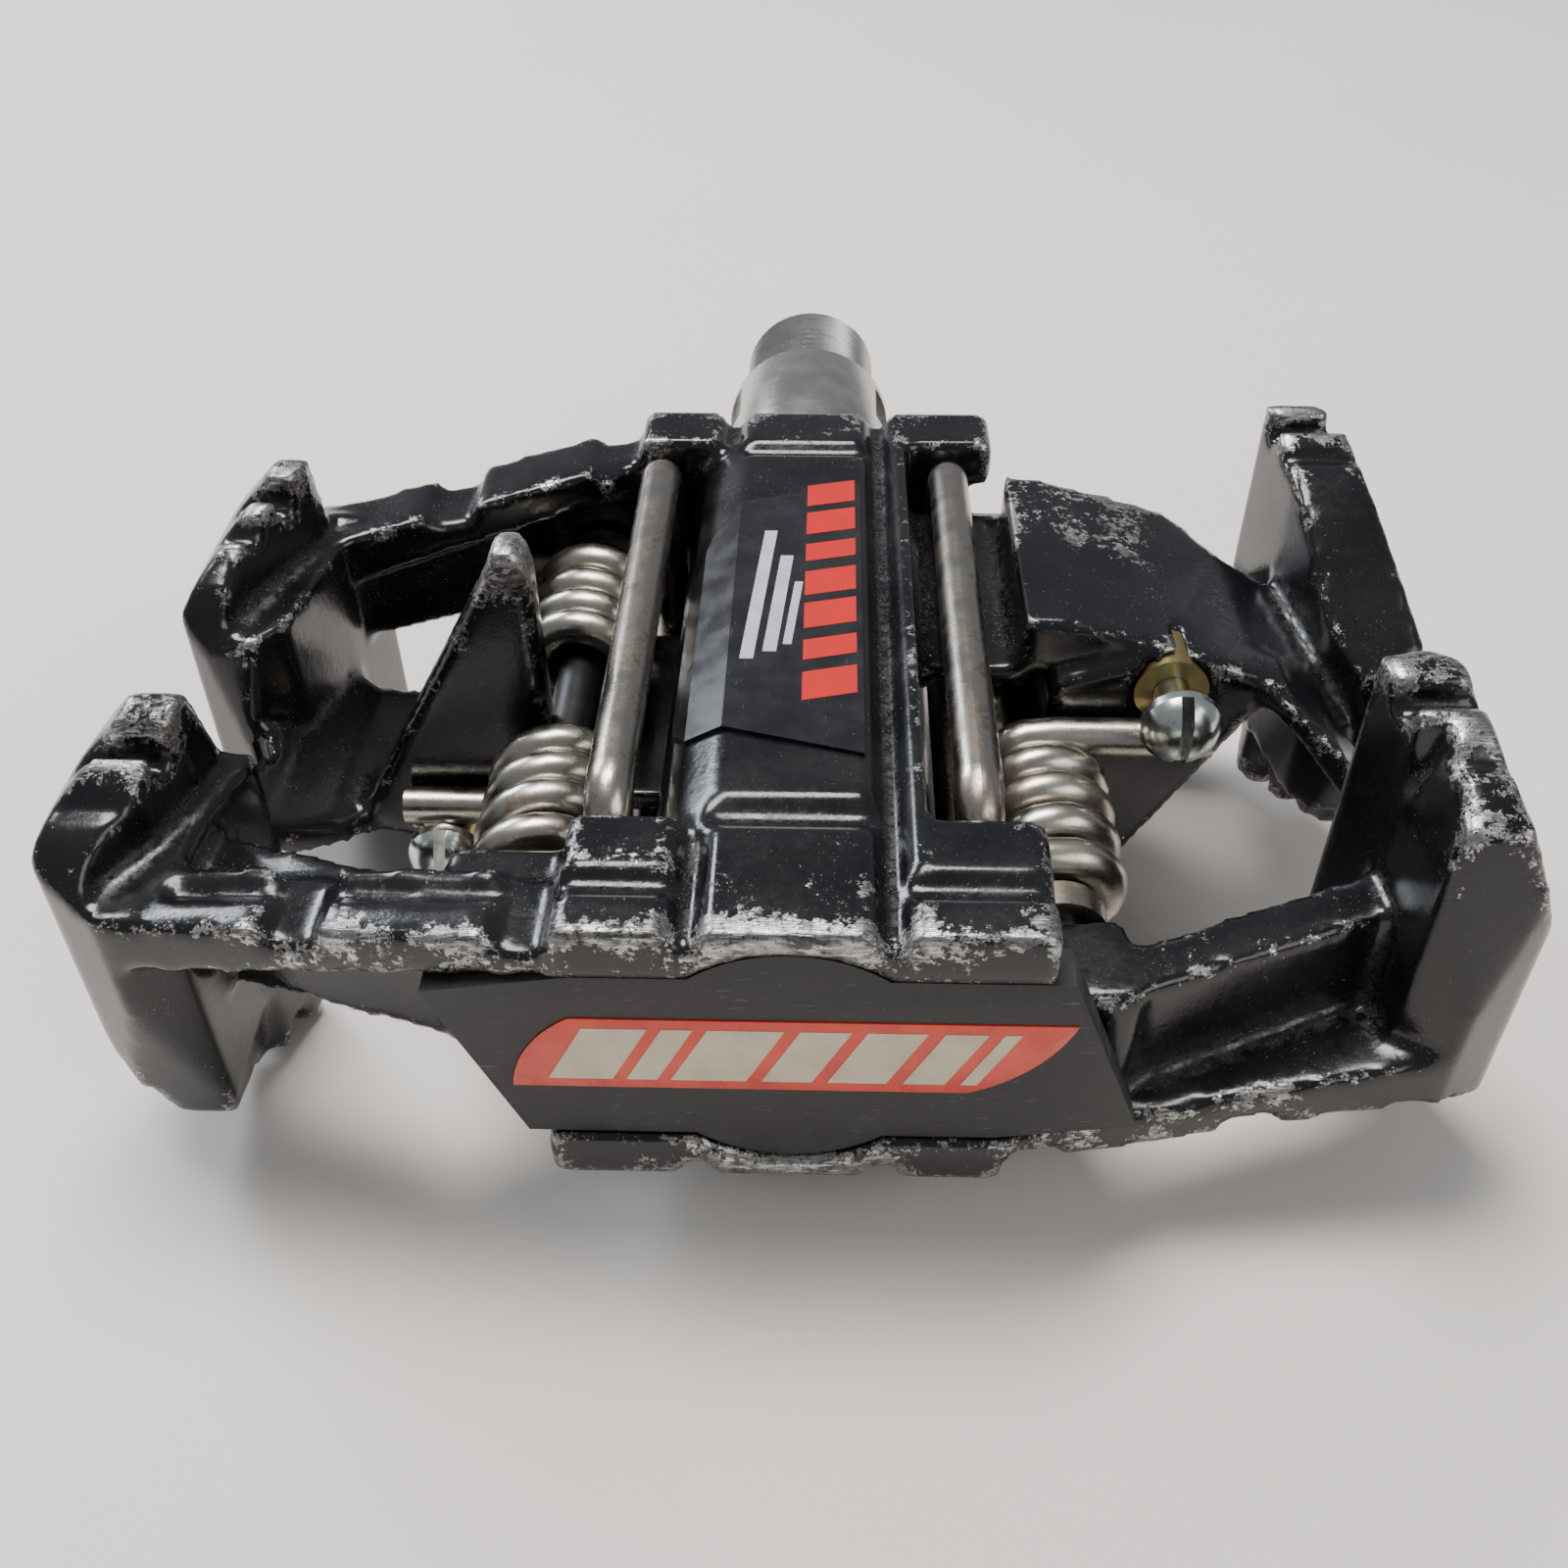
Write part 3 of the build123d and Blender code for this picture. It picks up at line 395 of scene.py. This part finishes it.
def mark_wear(piece):
    """Stores how far each point stands out of, or sinks below, the casting round it."""
    mesh = piece.data
    count = len(mesh.vertices)
    spots = np.zeros(count * 3)
    mesh.vertices.foreach_get("co", spots)
    spots = spots.reshape(-1, 3)
    normals = np.zeros(count * 3)
    mesh.vertices.foreach_get("normal", normals)
    normals = normals.reshape(-1, 3)
    edges = np.zeros(len(mesh.edges) * 2, int)
    mesh.edges.foreach_get("vertices", edges)
    first, second = edges.reshape(-1, 2).T
    linked = np.bincount(first, minlength=count) + np.bincount(second, minlength=count)
    linked = np.maximum(linked, 1)

    def averaged(values):
        total = np.bincount(first, values[second], count) + np.bincount(second, values[first], count)
        return total / linked

    soft = spots.copy()
    for _ in range(SOFTENING_ROUNDS):
        soft = np.stack([averaged(soft[:, axis]) for axis in range(3)], 1)
    stands_out = ((spots - soft) * normals).sum(1) / VOXEL
    for _ in range(2):
        stands_out = averaged(stands_out)
    place = spots / MM
    rubbed = np.zeros(count)
    for centre, radii, strength in RUBBED:
        for side, share in ((1, 1.0), (-1, OTHER_FACE_SHARE)):
            middle = np.array(centre) * (side, 1, side)
            reach = (((place - middle) / radii) ** 2).sum(1)
            rubbed = np.maximum(rubbed, strength * share * np.exp(-reach))
    wear = np.clip(stands_out * EDGE_WEAR, 0, MOST_EDGE_WEAR) + rubbed
    hollow = np.clip(-stands_out * HOLLOW_DIRT, 0, 1)
    for name, values in (("wear", wear), ("hollow", hollow)):
        layer = mesh.attributes.new(name, "FLOAT", "POINT")
        layer.data.foreach_set("value", values.astype(np.float32))


casting = cad_copy("pedal_body")
apply(casting, "REMESH", mode="VOXEL", voxel_size=VOXEL, use_smooth_shade=True)
apply(casting, "SMOOTH", factor=0.5, iterations=3)
mark_wear(casting)
make_active(casting)
bpy.ops.object.shade_smooth()
name_piece(casting, "cage_casting", "cage", "cage_paint", paint, "pedal_body")


# ---- end cap and badge --------------------------------------------------------
def pick(piece, test):
    """Selects, in edit mode, the points for which test(place) is true."""
    edit(piece, "DESELECT")
    mesh = bmesh.from_edit_mesh(piece.data)
    for point in mesh.verts:
        point.select_set(bool(test(point.co)))
    mesh.select_flush_mode()
    bmesh.update_edit_mesh(piece.data)


def slanted_plate(centre, size, slant):
    """A thin plate, lying flat, whose far end is slid along X by slant. All in millimetres."""
    deselect()
    bpy.ops.mesh.primitive_cube_add(size=1, location=[c * MM for c in centre])
    plate = bpy.context.object
    plate.scale = [length * MM for length in size]
    settle(plate)
    pick(plate, lambda place: place.y > centre[1] * MM)
    bpy.ops.transform.translate(value=(slant * MM, 0, 0))
    done()
    return plate


def joined(plates):
    """Joins several plates into the first."""
    deselect()
    for plate in plates:
        plate.select_set(True)
    bpy.context.view_layer.objects.active = plates[0]
    bpy.ops.object.join()
    return bpy.context.object


cap = cad_copy("end_cap")
apply(cap, "BEVEL", width=0.35 * MM, segments=3, angle_limit=radians(40))
smooth(cap)
name_piece(cap, "cap_shell", "cage", "cap_plastic", plastic, "end_cap")

badge = cad_copy("cap_badge")
apply(badge, "BEVEL", width=0.12 * MM, segments=2, angle_limit=radians(40))
smooth(badge)
name_piece(badge, "badge_resin", "cage", "badge_lens", badge_red, "cap_badge")
badge_low, badge_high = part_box("cap_badge")
badge_middle = (badge_low + badge_high) / 2 / MM
badge_height = (badge_high.z - badge_low.z) / MM
# middle and width of each pale panel along the badge, in millimetres
BADGE_PANELS = (
    (-15.0, 4.6), (-10.6, 2.2), (-5.8, 5.4), (-0.2, 3.6), (4.8, 4.2), (9.6, 3.0), (12.8, 1.2))
PANEL_SHARE = 0.74               # of the badge's height
PANEL_SLANT = 2.8
PRINT_THICKNESS = 0.04
INLAY_THICKNESS = 0.06
panels = []
for along, width in BADGE_PANELS:
    size = (width, badge_height * PANEL_SHARE, INLAY_THICKNESS)
    panels.append(slanted_plate((along, 0, 0), size, PANEL_SLANT))
inlay = joined(panels)
inlay.rotation_euler = (radians(90), 0, 0)
inlay.location = (badge_middle.x * MM, badge_low.y - 0.012 * MM, badge_middle.z * MM)
name_piece(inlay, "badge_inlay", "cage", "badge_lens", badge_cream)

# ---- printed shapes on the shoulder labels --------------------------------------
label_low, label_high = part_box("top_label")
LABEL_FACE = label_high.z / MM + 0.008
RED_BLOCKS = 7
FIRST_BLOCK = -69.0
BLOCK_STEP = 4.75
BLOCK_X = 2.55
BLOCK_LENGTH = 4.3
BLOCK_SLANT = 1.1
# x, y, length, width and slant of each pale stripe
PALE_STRIPES = (
    (-4.1, -56.0, 19.0, 1.1, 1.4), (-2.3, -57.5, 14.0, 1.1, 1.1), (-0.9, -59.0, 9.0, 0.7, 0.8))
for side, name in ((1, "top"), (-1, "bottom")):
    blocks = []
    for index in range(RED_BLOCKS):
        y = FIRST_BLOCK + index * BLOCK_STEP
        width = 2.7 if index % 3 == 1 else 3.6
        block = slanted_plate((BLOCK_X, y, LABEL_FACE), (BLOCK_LENGTH, width, PRINT_THICKNESS), 0)
        pick(block, lambda place: place.x > BLOCK_X * MM)
        bpy.ops.transform.translate(value=(0, BLOCK_SLANT * MM, 0))
        done()
        blocks.append(block)
    red = joined(blocks)
    pale = []
    for x, y, length, width, slant in PALE_STRIPES:
        pale.append(slanted_plate((x, y, LABEL_FACE), (width, length, PRINT_THICKNESS), slant))
    stripes = joined(pale)
    for piece, kind, ink in ((red, "_label_blocks", red_ink), (stripes, "_label_stripes", pale_ink)):
        if side < 0:
            piece.rotation_euler = (0, pi, 0)
        name_piece(piece, name + kind, "cage", "label_film", ink)

# ---- spindle with its thread ----------------------------------------------------
THREAD_PITCH = 25.4 / 20
THREAD_RADIUS = 7.145
ROOT_SHARE = 0.905               # thread root over its crest
THREAD_START = 0.9
THREAD_TURNS = 9
THREAD_STEPS = 56                # in each turn
RIDGE_RADIUS = 0.74
RIDGE_SINK = 0.44                # how far the ridge's middle lies below the crest
SOCKET_CLEAR = 6.0               # leaves the key socket's points alone
spindle = cad_copy("spindle")
apply(spindle, "BEVEL", width=0.18 * MM, segments=2, angle_limit=radians(30))
pick(spindle, lambda place: place.y > 0.3 * MM and Vector((place.x, place.z)).length > SOCKET_CLEAR * MM)
bpy.ops.transform.resize(value=(ROOT_SHARE, 1, ROOT_SHARE), center_override=(0, 0, 0))
done()
smooth(spindle, 35)
name_piece(spindle, "spindle_shaft", "spindle", "spindle_steel", spindle_steel, "spindle")
deselect()
bpy.ops.mesh.primitive_circle_add(
    vertices=3, radius=RIDGE_RADIUS * MM, location=((THREAD_RADIUS - RIDGE_SINK) * MM, 0, 0),
    rotation=(0, 0, radians(-90)))
ridge = bpy.context.object
settle(ridge)
apply(ridge, "SCREW", axis="Y", angle=2 * pi, screw_offset=THREAD_PITCH * MM, iterations=THREAD_TURNS,
      steps=THREAD_STEPS, render_steps=THREAD_STEPS, use_merge_vertices=False)
ridge.location = (0, THREAD_START * MM, 0)
edit(ridge)
bpy.ops.mesh.normals_make_consistent(inside=False)
done()
smooth(ridge, 40)
name_piece(ridge, "spindle_thread", "spindle", "spindle_steel", spindle_steel)

# ---- springs ------------------------------------------------------------------
WIRE = 3.3 * MM
TURNS = 4
TIGHT_PITCH = 1.04 * WIRE
SPACED_FROM = 2.4                # turns that lie tight before the spacing opens
STEPS_IN_TURN = 24
LEG_START = 1.2 * MM             # each leg leaves its turn this far from the rod's axis
HOOK_ROOM = 0.7 * MM             # the hook stops this far short of the coil's outer side


def spring_wire(node, body, tight_at_top, name):
    """A torsion spring: a tight pack of turns, wider spaced end turns, and two straight legs."""
    low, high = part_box(node)
    rear = node.startswith("rear")
    side = -1 if rear else 1
    lowest = -high.z if rear else low.z
    mean = -lowest - WIRE / 2
    low_x, high_x = (-high.x, -low.x) if rear else (low.x, high.x)
    rod_low, rod_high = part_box("rear_pivot_rod")
    axis_x = -(rod_low.x + rod_high.x) / 2
    y_low, y_high = low.y + WIRE / 2, high.y - WIRE / 2
    span = y_high - y_low
    open_pitch = (span - TIGHT_PITCH * SPACED_FROM) / (TURNS - SPACED_FROM)
    line = [Vector((low_x, 0, -mean)), Vector((axis_x - LEG_START, 0, -mean))]
    for step in range(1, TURNS * STEPS_IN_TURN):
        turn = step / STEPS_IN_TURN
        along = TIGHT_PITCH * min(turn, SPACED_FROM) + open_pitch * max(turn - SPACED_FROM, 0)
        angle = 2 * pi * turn
        line.append(Vector((axis_x + mean * sin(angle), along, -mean * cos(angle))))
    line += [Vector((axis_x + LEG_START, span, -mean)), Vector((high_x - HOOK_ROOM, span, -mean))]
    placed = []
    for spot in line:
        y = y_high - spot.y if tight_at_top else y_low + spot.y
        placed.append(Vector((side * spot.x, y, side * spot.z)))
    curve = bpy.data.curves.new(name, "CURVE")
    curve.dimensions = "3D"
    curve.bevel_depth = WIRE / 2
    curve.bevel_resolution = 6
    curve.use_fill_caps = True
    spline = curve.splines.new("POLY")
    spline.points.add(len(placed) - 1)
    for point, spot in zip(spline.points, placed):
        point.co = (*spot, 1)
    piece = bpy.data.objects.new(name, curve)
    scene.collection.objects.link(piece)
    make_active(piece)
    bpy.ops.object.convert(target="MESH")
    piece = bpy.context.object
    edit(piece)
    bpy.ops.mesh.normals_make_consistent(inside=False)
    done()
    smooth(piece, 50)
    return name_piece(piece, name, body, "spring_steel", spring_steel, node)


for front_or_rear in ("front", "rear"):
    for place, tight_at_top in (("outboard", True), ("inboard", False)):
        spring_wire(front_or_rear + "_spring_" + place, "cage", tight_at_top,
                    front_or_rear + "_coil_" + place)

# ---- floor, light and camera --------------------------------------------------
floor_z = cad_bounds[0][2] - 0.1 * MM
bpy.ops.mesh.primitive_plane_add(size=3.0, location=(0, 0, floor_z))
floor = bpy.context.object
floor.name = "floor"
table_top = Shader("floor")
floor.data.materials.append(table_top.finish(
    Base_Color=table_top.mix(table_top.noise(0.01, 3, 0.5), (0.70, 0.66, 0.61, 1), (0.76, 0.73, 0.69, 1)),
    Roughness=0.7))


def area_light(name, spot, aim, size, power, colour=(1, 1, 1)):
    lamp = bpy.data.lights.new(name, "AREA")
    lamp.shape = "RECTANGLE"
    lamp.size, lamp.size_y = size
    lamp.energy = power
    lamp.color = colour
    holder = bpy.data.objects.new(name, lamp)
    scene.collection.objects.link(holder)
    holder.location = spot
    holder.rotation_euler = (Vector(aim) - Vector(spot)).to_track_quat("-Z", "Y").to_euler()


centre = (0, -0.06, 0)
area_light("overhead", (-0.10, 0.10, 0.75), centre, (0.42, 0.30), 9.4, (1.0, 0.97, 0.93))
area_light("window", (-0.55, 0.45, 0.42), centre, (0.30, 0.26), 5.0, (0.86, 0.93, 1.0))
area_light("fill", (0.55, -0.45, 0.45), centre, (0.5, 0.4), 2.2, (1.0, 0.97, 0.93))
world = bpy.data.worlds.new("studio")
world.use_nodes = True
world.node_tree.nodes["Background"].inputs["Color"].default_value = (0.80, 0.84, 0.90, 1)
world.node_tree.nodes["Background"].inputs["Strength"].default_value = 0.34
scene.world = world

pitch, yaw, roll = radians(41), radians(-1.8), radians(-0.4)
ahead = Vector((sin(yaw) * cos(pitch), cos(yaw) * cos(pitch), -sin(pitch)))
right = Vector((cos(yaw), -sin(yaw), 0))
up = right.cross(ahead)
right, up = cos(roll) * right + sin(roll) * up, cos(roll) * up - sin(roll) * right
lens = bpy.data.cameras.new("camera")
lens.sensor_width = 36
lens.lens = 36
lens.clip_start = 0.01
camera = bpy.data.objects.new("camera", lens)
scene.collection.objects.link(camera)
camera.matrix_world = Matrix.Translation((0.0020, -0.1658, 0.0877)) @ Matrix(
    (right, up, -ahead)).transposed().to_4x4()
scene.camera = camera
